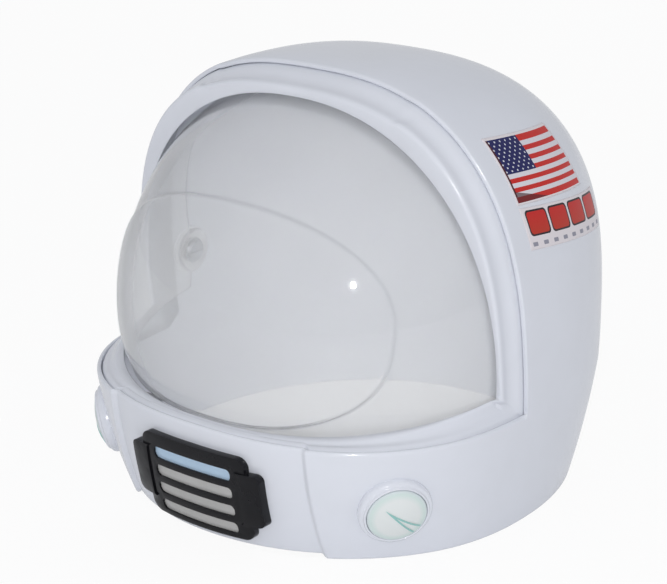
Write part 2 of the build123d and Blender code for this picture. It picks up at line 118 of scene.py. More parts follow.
def plan_sizes(z, inset):
    """Half width, front, rear and centre of the level section at z, moved inwards by inset."""
    z = np.asarray(z, float)
    top = HEIGHT - inset
    rise = above(z, WIDEST_HEIGHT, top)
    half = np.where(
        z < WIDEST_HEIGHT,
        HALF_WIDTH - (HALF_WIDTH - NECK_HALF_WIDTH) * below(z, WIDEST_HEIGHT) ** 2,
        HALF_WIDTH * superellipse(rise, SIDE_POWER),
    )
    shrink = np.where(z < WIDEST_HEIGHT, inset, inset * superellipse(rise, 2.0))
    rise = above(z, RIM_HEIGHT, top)
    front = np.where(
        z < RIM_HEIGHT,
        -CHIN_REACH + (CHIN_REACH - NECK_FRONT_REACH) * below(z, RIM_HEIGHT) ** 2,
        -CROWN_SET_FORWARD - (CHIN_REACH - CROWN_SET_FORWARD) * superellipse(rise, 2.0),
    )
    centre = -CROWN_SET_FORWARD * above(z, RIM_HEIGHT, HEIGHT) ** 1.5
    rise = above(z, REAR_HEIGHT, top)
    rear = np.where(
        z < REAR_HEIGHT,
        REAR_REACH - (REAR_REACH - NECK_REAR_REACH) * below(z, REAR_HEIGHT) ** 2,
        -CROWN_SET_FORWARD + (REAR_REACH + CROWN_SET_FORWARD) * superellipse(rise, REAR_POWER),
    )
    return half - shrink, front + shrink, rear - shrink, centre


def plan_power(z):
    """Power of the level section's superellipse: rounder corners towards the neck."""
    return PLAN_POWER - (PLAN_POWER - NECK_POWER) * below(np.asarray(z, float), RIM_HEIGHT)


def smooth(x):
    """Smooth step from 0 to 1."""
    x = np.clip(x, 0.0, 1.0)
    return x * x * (3.0 - 2.0 * x)


def cheek_lift(x, turn):
    """How far the cheek stands out of the chin panel's surface."""
    start, end = CHEEK_FADE
    fade = 0.5 + 0.5 * np.cos(math.pi * np.clip((turn - start) / (end - start), 0.0, 1.0))
    step = smooth((np.abs(x) - PANEL_HALF + PANEL_STEP * 0.5) / PANEL_STEP)
    return CHEEK_RAISE * fade * step


def plan_point(z, turn, inset, cheeks=True):
    """Point of the +X side's section at height z; turn runs from 0 in front to 1 at the rear."""
    half, front, rear, centre = plan_sizes(z, inset)
    power = 2.0 / plan_power(z)
    angle = math.pi * np.asarray(turn, float)
    x = half * np.abs(np.sin(angle)) ** power
    reach = np.where(turn < 0.5, front - centre, rear - centre)
    y = centre + reach * np.abs(np.cos(angle)) ** power
    length = np.hypot(x, y)
    lift = cheek_lift(x, turn) if cheeks else 0.0
    return np.stack([x * (1.0 + lift / length), y * (1.0 + lift / length), z + 0.0 * x], axis=-1)


def inside_form(p, inset, cheeks=True):
    """True where p lies inside the form moved inwards by inset."""
    x, y, z = p[..., 0], p[..., 1], p[..., 2]
    half, front, rear, centre = plan_sizes(z, inset)
    dy = y - centre
    reach = np.where(dy < 0.0, centre - front, rear - centre)
    power = plan_power(z)
    across = (np.abs(x) / np.maximum(half, 1e-6)) ** (power / 2.0)
    along = (np.abs(dy) / np.maximum(reach, 1e-6)) ** (power / 2.0)
    scale = (across**2 + along**2) ** (1.0 / power)
    radius = np.hypot(x, dy)
    surface = radius / np.maximum(scale, 1e-9)
    if cheeks:
        turn = np.arctan2(across, np.where(dy < 0.0, along, -along)) / math.pi
        surface = surface + cheek_lift(x, turn)
    return (radius < surface) & (z < HEIGHT - inset) & (half > 1e-3)


def inside_visor(p, grow, widen):
    """True where p lies inside the visor's surface of revolution, grown in reach and half width."""
    rho = np.hypot(p[..., 1] - PIVOT[1], p[..., 2] - PIVOT[2]) / (VISOR_REACH + grow)
    return (np.abs(p[..., 0]) / (VISOR_HALF + widen)) ** VISOR_POWER + rho**VISOR_POWER < 1.0


def unit(vector):
    """The vector's direction."""
    return vector / np.maximum(np.linalg.norm(vector, axis=-1, keepdims=True), 1e-9)


def between(first, second, share):
    """Direction this share of the way from one direction to another."""
    angle = np.arccos(np.clip((first * second).sum(-1), -1.0, 1.0))
    near, far = np.sin((1.0 - share) * angle), np.sin(share * angle)
    return first * (near / np.sin(angle))[..., None] + second * (far / np.sin(angle))[..., None]


def cast(origin, direction, test, far=420.0, halvings=36):
    """Where rays from inside a shape leave it."""
    low = np.zeros(direction.shape[:-1])
    high = np.full(direction.shape[:-1], far)
    for _ in range(halvings):
        middle = 0.5 * (low + high)
        within = test(origin + direction * middle[..., None])
        low = np.where(within, middle, low)
        high = np.where(within, high, middle)
    return origin + direction * low[..., None]


def crease_y(z):
    """The y of the face opening's edge on the hood."""
    return -CREASE_REACH - CREASE_LEAN * (z - RIM_HEIGHT)


def rim_z(y):
    """Height of the bezel's inner rim over the chin."""
    return RIM_HEIGHT + RIM_RISE * (y + CHIN_REACH - WALL)


UP_LEAN = np.array([0.0, -CREASE_LEAN, 1.0]) / math.hypot(1.0, CREASE_LEAN)


def arch_point(psi, ahead, test):
    """Point on a shape in the plane parallel to the face opening, ahead of it, psi from the top."""
    origin = np.array([0.0, -CREASE_REACH - ahead, RIM_HEIGHT])
    sideways = np.array([1.0, 0.0, 0.0])
    direction = np.sin(psi)[..., None] * sideways + np.cos(psi)[..., None] * UP_LEAN
    return cast(origin, direction, test)


# ---------------------------------------------------------------- meshes

MERGE = 1e-6  # metres; points closer than this are one
CORNER_STEPS = 5  # points on each rounded corner of a section


def new_object(name, data):
    """Object of this data in the scene."""
    item = bpy.data.objects.new(name, data)
    bpy.context.scene.collection.objects.link(item)
    return item


def mesh_piece(name, points, faces, flat=False, uv=None):
    """Object of a mesh in metres from points in millimetres; uv has a row for each point."""
    mesh = bpy.data.meshes.new(name)
    faces = [tuple(int(i) for i in face) for face in faces]
    mesh.from_pydata((np.asarray(points) * MM).tolist(), [], faces)
    if uv is not None:
        index = np.empty(len(mesh.loops), int)
        mesh.loops.foreach_get("vertex_index", index)
        mesh.uv_layers.new(name="UVMap").data.foreach_set("uv", np.asarray(uv)[index].ravel())
    mesh.validate()
    if not flat:
        mesh.shade_smooth()
    return new_object(name, mesh)


def grid_faces(rows, columns, wrap_rows=False, wrap_columns=False, flip=False):
    """Quads of a grid whose point (r, c) has the number r * columns + c."""
    r = np.arange(rows if wrap_rows else rows - 1)
    c = np.arange(columns if wrap_columns else columns - 1)
    r, c = np.meshgrid(r, c, indexing="ij")
    here, under = r * columns, (r + 1) % rows * columns
    right = (c + 1) % columns
    quads = np.stack([here + c, here + right, under + right, under + c], axis=-1).reshape(-1, 4)
    return quads[:, ::-1] if flip else quads


def outward(piece):
    """Merges the doubles of a closed piece and turns its faces outwards."""
    bm = bmesh.new()
    bm.from_mesh(piece.data)
    bmesh.ops.remove_doubles(bm, verts=bm.verts, dist=MERGE)
    loose = [edge for edge in bm.edges if not edge.link_faces]
    bmesh.ops.delete(bm, geom=loose, context="EDGES")
    bmesh.ops.recalc_face_normals(bm, faces=bm.faces)
    bm.to_mesh(piece.data)
    bm.free()
    piece.data.shade_smooth()
    return piece


def both_sides(right):
    """Columns of the whole loop from those of the +X side, which start and end in the middle."""
    left = right[:, 1:-1][:, ::-1] * np.array([-1.0, 1.0, 1.0])
    return np.concatenate([right, left], axis=1)


def distance_at(mark, total):
    """Distance of a mark along paths of this length: (from the start, share, from the end)."""
    start, share, end = mark
    return start + share * (total - start - end)


def along_paths(paths, marks):
    """A row of points on the paths for each mark, and the paths' lengths."""
    steps = np.linalg.norm(np.diff(paths, axis=1), axis=-1)
    length = np.concatenate([np.zeros((len(paths), 1)), np.cumsum(steps, axis=1)], axis=1)
    total = length[:, -1]
    rows = [
        [[np.interp(want, run, path[:, axis]) for axis in range(3)]
         for want, run, path in zip(distance_at(mark, total), length, paths)]
        for mark in marks
    ]
    return np.array(rows), total


def grid_normals(grid):
    """Normals of a grid of points whose columns run round a loop."""
    down = np.gradient(grid, axis=0)
    wide = np.roll(grid, -1, axis=1) - np.roll(grid, 1, axis=1)
    return unit(np.cross(wide, down))


def rounded_path(corners, radii):
    """Rounds the path through corner points (corner, column, 3); all columns get as many points."""
    corners = np.asarray(corners)
    points = [corners[0]]
    for k in range(1, len(corners) - 1):
        at = corners[k]
        ends = []
        for other in (corners[k - 1], corners[k + 1]):
            side = other - at
            length = np.linalg.norm(side, axis=-1, keepdims=True)
            ends.append(at + side * np.minimum(radii[k], 0.45 * length) / np.maximum(length, 1e-6))
        for t in np.linspace(0.0, 1.0, CORNER_STEPS):
            points.append((1 - t) ** 2 * ends[0] + 2 * t * (1 - t) * at + t**2 * ends[1])
    points.append(corners[-1])
    return np.stack(points)


# ---------------------------------------------------------------- hood

# Columns round the face opening, on the +X side from the chin's middle to the dome's top
PANEL_COLUMNS = 26
STEP_COLUMNS = 12
CHEEK_COLUMNS = 52
ARCH_COLUMNS = 90
ARCH_SHARE = np.linspace(0.0, 1.0, ARCH_COLUMNS)
ARCH_PSI = np.radians(90.0) * (1.0 - ARCH_SHARE)
PATH_SAMPLES = 260
SHELL_MIDDLE = np.array([0.0, 20.0, 100.0])


def turn_at_x(x, z, inset):
    """The turn at which the front of the section has this x."""
    half = plan_sizes(z, inset)[0]
    return np.arcsin(np.clip(x / half, 0.0, 1.0) ** (plan_power(z) / 2.0)) / math.pi


def turn_at_crease(z, inset):
    """The turn at which the section meets the line of the crease."""
    _, front, _, centre = plan_sizes(z, inset)
    share = np.clip((crease_y(z) - centre) / (front - centre), 0.0, 1.0)
    return np.arccos(share ** (plan_power(z) / 2.0)) / math.pi


def rim_turns(z, inset):
    """Turns of the columns from the chin's middle to the crease at height z."""
    stops = (
        turn_at_x(PANEL_HALF - PANEL_STEP, z, inset)[..., None],
        turn_at_x(PANEL_HALF + PANEL_STEP, z, inset)[..., None],
        turn_at_crease(z, inset)[..., None],
    )
    counts = (PANEL_COLUMNS, STEP_COLUMNS, CHEEK_COLUMNS)
    return np.concatenate([
        start + (stop - start) * np.linspace(0.0, 1.0, count, endpoint=False)
        for start, stop, count in zip((0.0, *stops), stops, counts)
    ], axis=-1)


def hood_paths():
    """Paths on the outer surface from the face opening's edge to the neck rim, +X side."""
    fine = np.linspace(0.0, 1.0, PATH_SAMPLES)
    level = np.zeros(1)
    foot_x = plan_point(level, rim_turns(level, 0.0)[0], 0.0)[..., 0]
    bottom = CHIN_NOTCH * (1.0 - smooth((foot_x - PANEL_HALF + PANEL_STEP * 0.5) / PANEL_STEP))
    z = RIM_HEIGHT + (bottom[:, None] - RIM_HEIGHT) * fine
    turns = np.stack([rim_turns(row, 0.0)[:, i] for i, row in enumerate(z)])
    chin = plan_point(z, turns, 0.0)

    edge = arch_point(ARCH_PSI, 0.0, lambda p: inside_form(p, 0.0))
    foot_turn = turn_at_crease(level, 0.0)[0]
    neck = plan_point(0.0 * ARCH_SHARE, foot_turn + (1.0 - foot_turn) * ARCH_SHARE, 0.0)
    start, end = (unit(points - SHELL_MIDDLE)[:, None] for points in (edge, neck))
    way = unit(between(start, end, fine[None]))
    back = cast(SHELL_MIDDLE, way, lambda p: inside_form(p, 0.0) & (p[..., 2] > -1e-6))
    back[:, 0] = edge
    back[:, -1] = neck
    return np.concatenate([chin, back], axis=0)


def hood_rings():
    """Marks of the shell's rings with their depth, a share of the wall: up outside, down inside."""
    outer_rows, inner_rows = 72, 40
    edge_out, edge_in, edge_deep, neck_round = 2.6, 1.0, 0.6, 1.2
    rings = [(edge_out, 1.0 - s, neck_round, 0.0) for s in np.linspace(0.0, 1.0, outer_rows)]
    for a in np.radians(np.linspace(0.0, 90.0, 7))[1:]:
        rings.append((edge_out * (1.0 - math.sin(a)), 0.0, 0.0, edge_deep * (1.0 - math.cos(a))))
    for a in np.radians(np.linspace(0.0, 90.0, 4))[1:]:
        depth = edge_deep + (1.0 - edge_deep) * math.sin(a)
        rings.append((edge_in * (1.0 - math.cos(a)), 0.0, 0.0, depth))
    rings += [(edge_in, s, neck_round, 1.0) for s in np.linspace(0.0, 1.0, inner_rows)[1:]]
    for a in np.radians(np.linspace(0.0, 180.0, 7))[1:-1]:
        rings.append((0.0, 1.0, neck_round * (1.0 - math.sin(a)), 0.5 * (1.0 + math.cos(a))))
    return rings


def make_hood():
    """The hood's thin shell as one closed smooth mesh with rounded edges."""
    right = hood_paths()
    rings = hood_rings()
    whole = both_sides(along_paths(right, [ring[:3] for ring in rings])[0])
    base_rows = 140
    base, total = along_paths(right, [(0.0, s, 0.0) for s in np.linspace(0.0, 1.0, base_rows)])
    base = both_sides(base)
    normal = grid_normals(base)
    if ((normal * (base - SHELL_MIDDLE)).sum(-1) < 0).mean() > 0.5:
        normal = -normal
    loop_total = np.concatenate([total, total[1:-1][::-1]])
    rows, columns = whole.shape[:2]
    column = np.arange(columns)
    for r, (*mark, depth) in enumerate(rings):
        row = np.clip(distance_at(mark, loop_total) / loop_total, 0.0, 1.0) * (base_rows - 1)
        low = np.clip(row.astype(int), 0, base_rows - 2)
        part = (row - low)[:, None]
        out = normal[low, column] * (1.0 - part) + normal[low + 1, column] * part
        whole[r] -= unit(out) * WALL * depth
    whole[..., 2] = np.maximum(whole[..., 2], 0.0)
    faces = grid_faces(rows, columns, True, True)
    return outward(mesh_piece("hood_moulding", whole.reshape(-1, 3), faces))


# ---------------------------------------------------------------- face frame

HIDDEN_RUN = 9.0  # how far the frame runs on behind the hood's edge
HIDDEN_DEPTH, HIDDEN_BACK = 0.5, 2.6  # depths of its hidden faces under the hood's inner face
TUCK_DEPTH = 0.35  # depth where it leaves the hood's edge
LIP_FOOT_HEIGHT = 96.0  # where the lip over the dome meets the one over the chin
LIP_FOOT_DEPTH = 5.5
ARCH_LIP_DEPTH = 1.6
CHIN_LIP_DEPTH, CHIN_LIP_LOSS = 7.2, 1.6  # depth in the middle, and how much less at the ends
CHIN_MIDDLE_Y = -37.0  # the chin's lip is cut towards this place
FRAME_MIDDLE = np.array([0.0, 0.0, 110.0])
CHANNEL = 1.7  # depth of the channel between crease and lip
CHANNEL_WIDTH = 18.0  # it is shallower where the band is narrower than this
CHANNEL_ROWS = 14
FRAME_RADII = (0.0, 0.6, 3.0, 2.6, 1.0, 0.8, 1.0, 0.0)


def inside_wall(depth):
    """Test for the form that lies this deep under the hood's inner face."""
    return lambda p: inside_form(p, WALL + depth)


def inside_swept(p):
    """True within the space that the turning visor needs."""
    return inside_visor(p, WINDOW_RAISE + LIP_CLEARANCE, LIP_CLEARANCE)


def arch_section():
    """Corners of the frame over the dome, from its hidden edge round the lip and back."""
    low, high = math.radians(60.0), math.radians(90.0)
    for _ in range(30):
        middle = 0.5 * (low + high)
        lip = arch_point(np.array([middle]), BAND_DEPTH, inside_wall(ARCH_LIP_DEPTH))
        if lip[0, 2] > LIP_FOOT_HEIGHT:
            low = middle
        else:
            high = middle
    lip_psi = ARCH_PSI * low / math.radians(90.0)
    return [
        arch_point(ARCH_PSI, -HIDDEN_RUN, inside_wall(HIDDEN_DEPTH)),
        arch_point(ARCH_PSI, -1.5, inside_wall(TUCK_DEPTH)),  # behind the crease
        arch_point(ARCH_PSI, 1.2, inside_wall(0.5)),  # the band starts
        arch_point(lip_psi, BAND_DEPTH, inside_wall(ARCH_LIP_DEPTH)),
        arch_point(lip_psi, BAND_DEPTH - 0.6, inside_swept),  # the lip's edges at the visor
        arch_point(lip_psi, BAND_DEPTH - 3.0, inside_swept),
        arch_point(lip_psi, BAND_DEPTH - 3.2, inside_wall(4.2)),  # under the lip
        arch_point(ARCH_PSI, -HIDDEN_RUN, inside_wall(HIDDEN_BACK)),
    ]


def visor_side(points, drop):
    """The swept visor's surface this far below the points, seen level from the middle."""
    level = points - np.array([0.0, 0.0, drop])
    origin = level * np.array([0.0, 0.0, 1.0]) + np.array([0.0, CHIN_MIDDLE_Y, 0.0])
    return cast(origin, unit(level - origin), inside_swept)


def chin_section(lip_foot):
    """The same corners over the chin; the lip ends at lip_foot."""
    turns = rim_turns(np.array([RIM_HEIGHT]), WALL)[0]
    last_turn = 2.0 * turns[-1] - turns[-2]

    def miss(share):
        """How far in y the rim's end lies from the lip's foot."""
        height, end = np.array([LIP_FOOT_HEIGHT]), np.array([share * last_turn])
        return abs(plan_point(height, end, WALL + LIP_FOOT_DEPTH, False)[0, 1] - lip_foot[1])

    share = min(np.linspace(0.6, 1.0, 400), key=miss)
    inset = WALL + CHIN_LIP_DEPTH - CHIN_LIP_LOSS * np.linspace(0.0, 1.0, len(turns)) ** 6
    lip = plan_point(RIM_HEIGHT + 0.0 * turns, turns * share, inset, cheeks=False)
    for _ in range(4):
        lip = plan_point(rim_z(lip[:, 1]), turns * share, inset, cheeks=False)

    def chin(rise, depth):
        """Points under the hood's inner face, this far above the rim's height."""
        return plan_point(RIM_HEIGHT + rise + 0.0 * turns, turns, WALL + depth)

    return [
        chin(-HIDDEN_RUN, HIDDEN_DEPTH),
        chin(-1.8, TUCK_DEPTH),  # behind the hood's edge
        chin(0.2, 1.2),  # the rim starts
        lip,
        visor_side(lip, 0.4),  # the lip's edges at the visor
        visor_side(lip, 2.6),
        0.5 * (visor_side(lip, 3.2) + chin(-3.0, 3.0)),  # under the lip
        chin(-HIDDEN_RUN, HIDDEN_BACK),
    ]


def make_bezel():
    """The frame inside the face opening: a shallow channel, the lip and its return to the visor."""
    arch = arch_section()
    chin = chin_section(arch[3][0])
    loops = [np.concatenate([c, a], axis=0) for c, a in zip(chin, arch)]
    section = rounded_path(loops, FRAME_RADII)

    # the channel goes between the third corner and the lip
    start = 1 + CORNER_STEPS * 2
    before, after = section[start - 1], section[start]
    inward = unit(np.cross(np.gradient(before, axis=0), after - before))
    to_middle = FRAME_MIDDLE - before
    inward = np.where((inward * to_middle).sum(-1, keepdims=True) < 0.0, -inward, inward)
    width = np.linalg.norm(after - before, axis=-1, keepdims=True)
    fill = []
    for t in np.linspace(0.0, 1.0, CHANNEL_ROWS + 2)[1:-1]:
        sink = CHANNEL * np.minimum(1.0, width / CHANNEL_WIDTH) * math.sin(math.pi * t) ** 1.4
        fill.append(before + (after - before) * t + inward * sink)
    section = np.concatenate([section[:start], np.stack(fill), section[start:]], axis=0)
    whole = both_sides(section)
    faces = grid_faces(*whole.shape[:2], True, True)
    return outward(mesh_piece("face_frame", whole.reshape(-1, 3), faces))


# ---------------------------------------------------------------- visor

EAR_ACROSS = 0.955  # where the sheet ends beside each ear, along the ear axis
EAR_WALL = 1.6
EAR_RADIUS = 16.0
EAR_HOLE = 4.05
WINDOW_STEP = 5.2  # width of the step round the raised window
STEP_ENDS = (0.955, 0.985)  # the step lies within these shares of the way to the sheet's edge
VISOR_COLUMNS = 420
INNER_RINGS, STEP_RINGS, OUTER_RINGS = 32, 12, 32


def visor_surface(across, angle):
    """Point of the visor's surface: across from -1 to 1 along the ear axis, angle above level."""
    turn = across * math.radians(90.0)
    power = 2.0 / VISOR_POWER
    x = np.sign(turn) * VISOR_HALF * np.abs(np.sin(turn)) ** power
    rho = VISOR_REACH * np.cos(turn) ** power
    return np.stack([x, PIVOT[1] - rho * np.cos(angle), PIVOT[2] + rho * np.sin(angle)], axis=-1)


def window_reach(p):
    """How far p lies from the window's middle, as a share of its outline."""
    y, z = p[..., 1] - PIVOT[1], p[..., 2] - PIVOT[2]
    rise = y * math.sin(WINDOW_TILT) + z * math.cos(WINDOW_TILT)
    height = np.where(rise > 0.0, WINDOW_TOP, WINDOW_BOTTOM)
    q = (np.abs(p[..., 0]) / WINDOW_HALF) ** WINDOW_POWER + (np.abs(rise) / height) ** WINDOW_POWER
    return q ** (1.0 / WINDOW_POWER)


def visor_along(direction, grow):
    """Where rays from the middle of the ear axis meet the visor's surface."""
    across = np.abs(direction[..., 0]) / (VISOR_HALF + grow)
    out = np.hypot(direction[..., 1], direction[..., 2]) / (VISOR_REACH + grow)
    reach = (across**VISOR_POWER + out**VISOR_POWER) ** (-1.0 / VISOR_POWER)
    return PIVOT + direction * reach[..., None]


def bottom_angle(across):
    """Angle of the visor's bottom edge below level, at this place across."""
    rho = VISOR_REACH * np.cos(np.abs(across) * math.radians(90.0)) ** (2.0 / VISOR_POWER)
    angle = np.zeros_like(rho)
    for _ in range(30):
        y = PIVOT[1] - rho * np.cos(angle)
        drop = (rim_z(y) - VISOR_TUCK - PIVOT[2]) / np.maximum(rho, 1e-6)
        angle = 0.5 * angle + 0.5 * np.arcsin(np.clip(drop, -1.0, 1.0))
    return np.maximum(angle, WINDOW_TILT - math.radians(90.0))


def visor_edge():
    """Directions from the middle of the ear axis to evenly spaced points of the sheet's edge."""
    side = np.linspace(0.0, 1.0, 900)
    foot = float(bottom_angle(np.array([EAR_ACROSS]))[0])
    over = EAR_ACROSS * (1.0 - 2.0 * side)
    edge = np.concatenate([
        np.stack([over, 0.0 * side + VISOR_TOP_ANGLE], -1),
        np.stack([0.0 * side - EAR_ACROSS, VISOR_TOP_ANGLE + (foot - VISOR_TOP_ANGLE) * side], -1),
        np.stack([-over, bottom_angle(over)], -1),
        np.stack([0.0 * side + EAR_ACROSS, foot + (VISOR_TOP_ANGLE - foot) * side], -1),
    ])
    least_step = 0.004
    steps = np.linalg.norm(np.diff(visor_surface(*edge.T), axis=0), axis=-1) + least_step
    length = np.concatenate([[0.0], np.cumsum(steps)])
    want = np.linspace(0.0, length[-1], VISOR_COLUMNS, endpoint=False)
    return unit(visor_surface(*(np.interp(want, length, edge[:, k]) for k in (0, 1))) - PIVOT)


def visor_rings():
    """The window's middle, directions (ring, column, 3) from it to the edge, and rings' lifts."""
    rim = visor_edge()
    middle = np.array([0.0, -math.cos(WINDOW_TILT), math.sin(WINDOW_TILT)])
    low, high = np.zeros(VISOR_COLUMNS), np.ones(VISOR_COLUMNS)
    for _ in range(40):
        share = 0.5 * (low + high)
        within = window_reach(visor_along(between(middle, rim, share), 0.0)) < 1.0
        low = np.where(within, share, low)
        high = np.where(within, high, share)
    little = 0.01
    near, at = (visor_along(between(middle, rim, low - back), 0.0) for back in (little, 0.0))
    scale = np.linalg.norm(at - near, axis=-1) / little
    half_step = 0.5 * WINDOW_STEP / np.maximum(scale, 1.0)
    first = np.minimum(low - half_step, STEP_ENDS[0])
    second = np.minimum(low + half_step, STEP_ENDS[1])
    shares = [first * i / INNER_RINGS for i in range(1, INNER_RINGS + 1)]
    shares += [first + (second - first) * i / STEP_RINGS for i in range(1, STEP_RINGS + 1)]
    shares += [second + (1.0 - second) * i / OUTER_RINGS for i in range(1, OUTER_RINGS + 1)]
    lift = [1.0] * INNER_RINGS
    lift += [1.0 - float(smooth(i / STEP_RINGS)) for i in range(1, STEP_RINGS + 1)]
    lift += [0.0] * OUTER_RINGS
    return middle, between(middle, rim, np.stack(shares)), WINDOW_RAISE * np.array(lift)[:, None]


def make_visor():
    """The clear bubble: rings run from the window's middle over its step to the sheet's edge."""
    middle, fan, lift = visor_rings()
    sheets = []
    for sink in (0.0, VISOR_WALL):
        sheets.append(visor_along(middle[None], WINDOW_RAISE - sink))
        sheets.append(visor_along(fan, lift - sink).reshape(-1, 3))
    rows, columns = fan.shape[:2]
    start = 1 + rows * columns
    faces = [tuple(f) for f in grid_faces(rows, columns, False, True) + 1]
    faces += [tuple(f) for f in grid_faces(rows, columns, False, True, True) + start + 1]
    outer_edge = 1 + (rows - 1) * columns
    inner_edge = start + outer_edge
    for c in range(columns):
        d = (c + 1) % columns
        faces.append((0, 1 + d, 1 + c))
        faces.append((start, start + 1 + c, start + 1 + d))
        faces.append((outer_edge + c, outer_edge + d, inner_edge + d, inner_edge + c))
    bubble = outward(mesh_piece("clear_bubble", np.concatenate(sheets), faces))
    return join("clear_visor", [bubble, make_ear(1), make_ear(-1)])


def make_ear(side):
    """Flat ring about the ear axis with eased edges."""
    x_low, x_high, ease, count = VISOR_HALF - EAR_WALL, VISOR_HALF, 0.25, 64
    profile = [
        (EAR_HOLE + ease, x_low), (EAR_RADIUS - ease, x_low),
        (EAR_RADIUS, x_low + ease), (EAR_RADIUS, x_high - ease),
        (EAR_RADIUS - ease, x_high), (EAR_HOLE + ease, x_high),
        (EAR_HOLE, x_high - ease), (EAR_HOLE, x_low + ease),
    ]
    turns = np.linspace(0.0, 2.0 * math.pi, count, endpoint=False)
    round_axis = np.stack([0.0 * turns, np.cos(turns), np.sin(turns)], -1)
    centre = PIVOT * np.array([0.0, 1.0, 1.0])
    rings = [centre + r * round_axis + side * x * np.array([1.0, 0.0, 0.0]) for r, x in profile]
    faces = grid_faces(len(profile), count, True, True)
    return outward(mesh_piece("visor_ear", np.stack(rings).reshape(-1, 3), faces, flat=True))


def join(name, pieces):
    """One object of several."""
    bm = bmesh.new()
    for piece in pieces:
        bm.from_mesh(piece.data)
        bpy.data.objects.remove(piece)
    mesh = bpy.data.meshes.new(name)
    bm.to_mesh(mesh)
    bm.free()
    mesh.shade_smooth()
    return new_object(name, mesh)


# ---------------------------------------------------------------- prints, dials and grille


def make_film(name, back, middle, top, bottom, drop, lean, slope):
    """Printed film on the hood's side; its UV runs from front to back and from bottom to top.

    back and middle place its centre, top and bottom are its lengths there, drop its height, lean
    how far its top is set forward, and slope its fall to the rear in degrees.
    """
    u, v = np.meshgrid(np.linspace(0.0, 1.0, 73), np.linspace(0.0, 1.0, 37))
    length = bottom + (top - bottom) * v
    y = lean * (0.5 - v) + length * (u - 0.5)
    z = middle + drop * (v - 0.5) - y * math.tan(math.radians(slope))
    start = np.stack([0.0 * y, back + y, z], -1)
    way = np.zeros_like(start)
    way[..., 0] = 1.0
    sink = 0.05  # depth of its back in the shell
    sheets = [cast(start, way, lambda p, h=h: inside_form(p, -h, False)) for h in (FILM, -sink)]
    rows, columns = u.shape
    number = np.arange(u.size).reshape(rows, columns)
    faces = [tuple(f) for f in grid_faces(rows, columns)]
    faces += [tuple(f) for f in grid_faces(rows, columns, flip=True) + u.size]
    around = np.concatenate([number[0], number[1:, -1], number[-1, -2::-1], number[-2:0:-1, 0]])
    for here, there in zip(around, np.roll(around, -1)):
        faces.append((there, here, here + u.size, there + u.size))
    points = np.concatenate([sheet.reshape(-1, 3) for sheet in sheets])
    uv = np.stack([u, v], -1).reshape(-1, 2)
    return outward(mesh_piece(name, points, faces, uv=np.concatenate([uv, uv])))


def lathe(name, corners, radii, sign, closed):
    """Ring or cap turned about a dial's axis from corners (radius, height); UV u is the radius."""
    flip = np.array([sign, 1.0, 1.0])
    origin, axis, level = DIAL_PLACE * flip, DIAL_AXIS * flip, DIAL_LEVEL * flip
    corners = np.array(corners, float)[:, None, :]
    if closed:
        start = 0.5 * (corners[:1] + corners[-1:])
        path = rounded_path(np.concatenate([start, corners, start]), [0.0, *radii, 0.0])[:-1, 0]
    else:
        path = rounded_path(corners, radii)[:, 0]
    count = 96  # points round the axis
    turns = np.linspace(0.0, 2.0 * math.pi, count, endpoint=False)
    spoke = np.cos(turns)[:, None] * level + np.sin(turns)[:, None] * np.cross(axis, level)
    points = origin + path[:, None, :1] * spoke[None] + path[:, None, 1:] * axis
    uv = np.broadcast_arrays(path[:, :1] / DIAL_RADIUS, turns[None] / (2.0 * math.pi))
    uv = np.stack(uv, -1).reshape(-1, 2)
    faces = grid_faces(len(path), count, closed, True)
    return outward(mesh_piece(name, points.reshape(-1, 3), faces, uv=uv))


def softened(node, name, width, angle):
    """Copy of a CAD node's mesh with its doubles merged and its sharp edges rounded."""
    bm = bmesh.new()
    bm.from_mesh(nodes[node].data)
    bmesh.ops.remove_doubles(bm, verts=bm.verts, dist=2.0 * MERGE)
    flat = math.radians(1.0)
    bmesh.ops.dissolve_limit(bm, angle_limit=flat, verts=bm.verts, edges=bm.edges)
    mesh = bpy.data.meshes.new(name)
    bm.to_mesh(mesh)
    bm.free()
    mesh.materials.clear()
    raw = new_object(name + "_raw", mesh)
    ease = raw.modifiers.new("ease", "BEVEL")
    ease.width = width * MM
    ease.segments = 3
    ease.limit_method = "ANGLE"
    ease.angle_limit = math.radians(angle)
    ease.use_clamp_overlap = True
    done = plain_mesh(raw, name)
    done.set_sharp_from_angle(angle=math.radians(50.0))
    return new_object(name, done)


def plain_mesh(carrier, name):
    """Smooth mesh of an object with its modifiers; the object is removed."""
    evaluated = carrier.evaluated_get(bpy.context.evaluated_depsgraph_get())
    mesh = bpy.data.meshes.new_from_object(evaluated)
    bpy.data.objects.remove(carrier)
    mesh.name = name
    mesh.shade_smooth()
    return mesh


